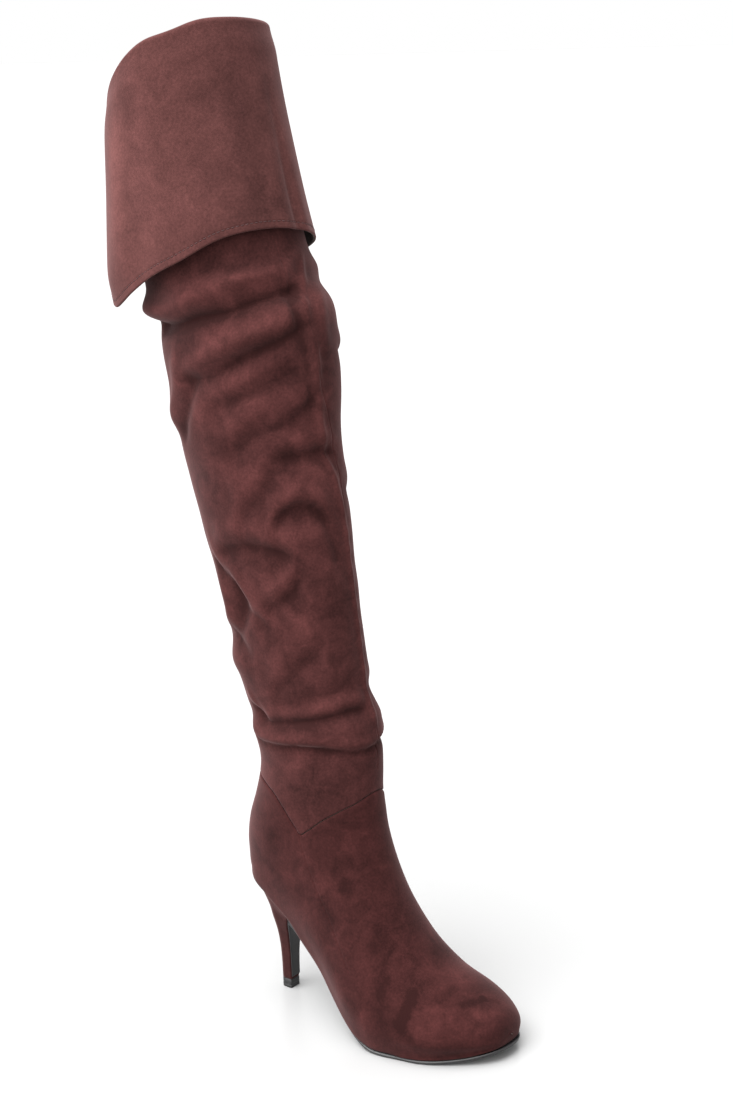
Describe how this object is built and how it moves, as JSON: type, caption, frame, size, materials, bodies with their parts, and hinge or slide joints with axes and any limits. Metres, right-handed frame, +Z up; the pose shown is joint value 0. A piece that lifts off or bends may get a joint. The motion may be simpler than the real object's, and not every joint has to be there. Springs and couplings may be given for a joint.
{
  "type": "thigh-high boot",
  "caption": "Thigh-high stiletto boot for the right foot, with a slouched leg, a turned-down cuff open at the back, an almond toe and a slim covered heel.",
  "frame": {"origin": "centre of the heel tip's flat underside, on the floor", "axes": "+Z up the leg; -Y from the heel to the toe; -X to the outer side of the right foot, +X to its inner side"},
  "size_m": [0.1248, 0.3037, 0.6792],
  "materials": {
    "top_piece": "gloss",
    "covered_heel": "covered in matt faux suede",
    "sole": "gloss",
    "sock": "matt",
    "suede_foot": "brushed faux suede",
    "suede_leg": "brushed faux suede",
    "elastic": "ribbed elastic",
    "suede_cuff": "brushed faux suede"
  },
  "bodies": {
    "root": {"heel_tip": "top_piece", "heel": "covered_heel", "outsole": "sole", "insole": "sock", "upper": "suede_foot", "shaft": "suede_leg", "back_gore": "elastic", "cuff": "suede_cuff"}
  },
  "joints": []
}
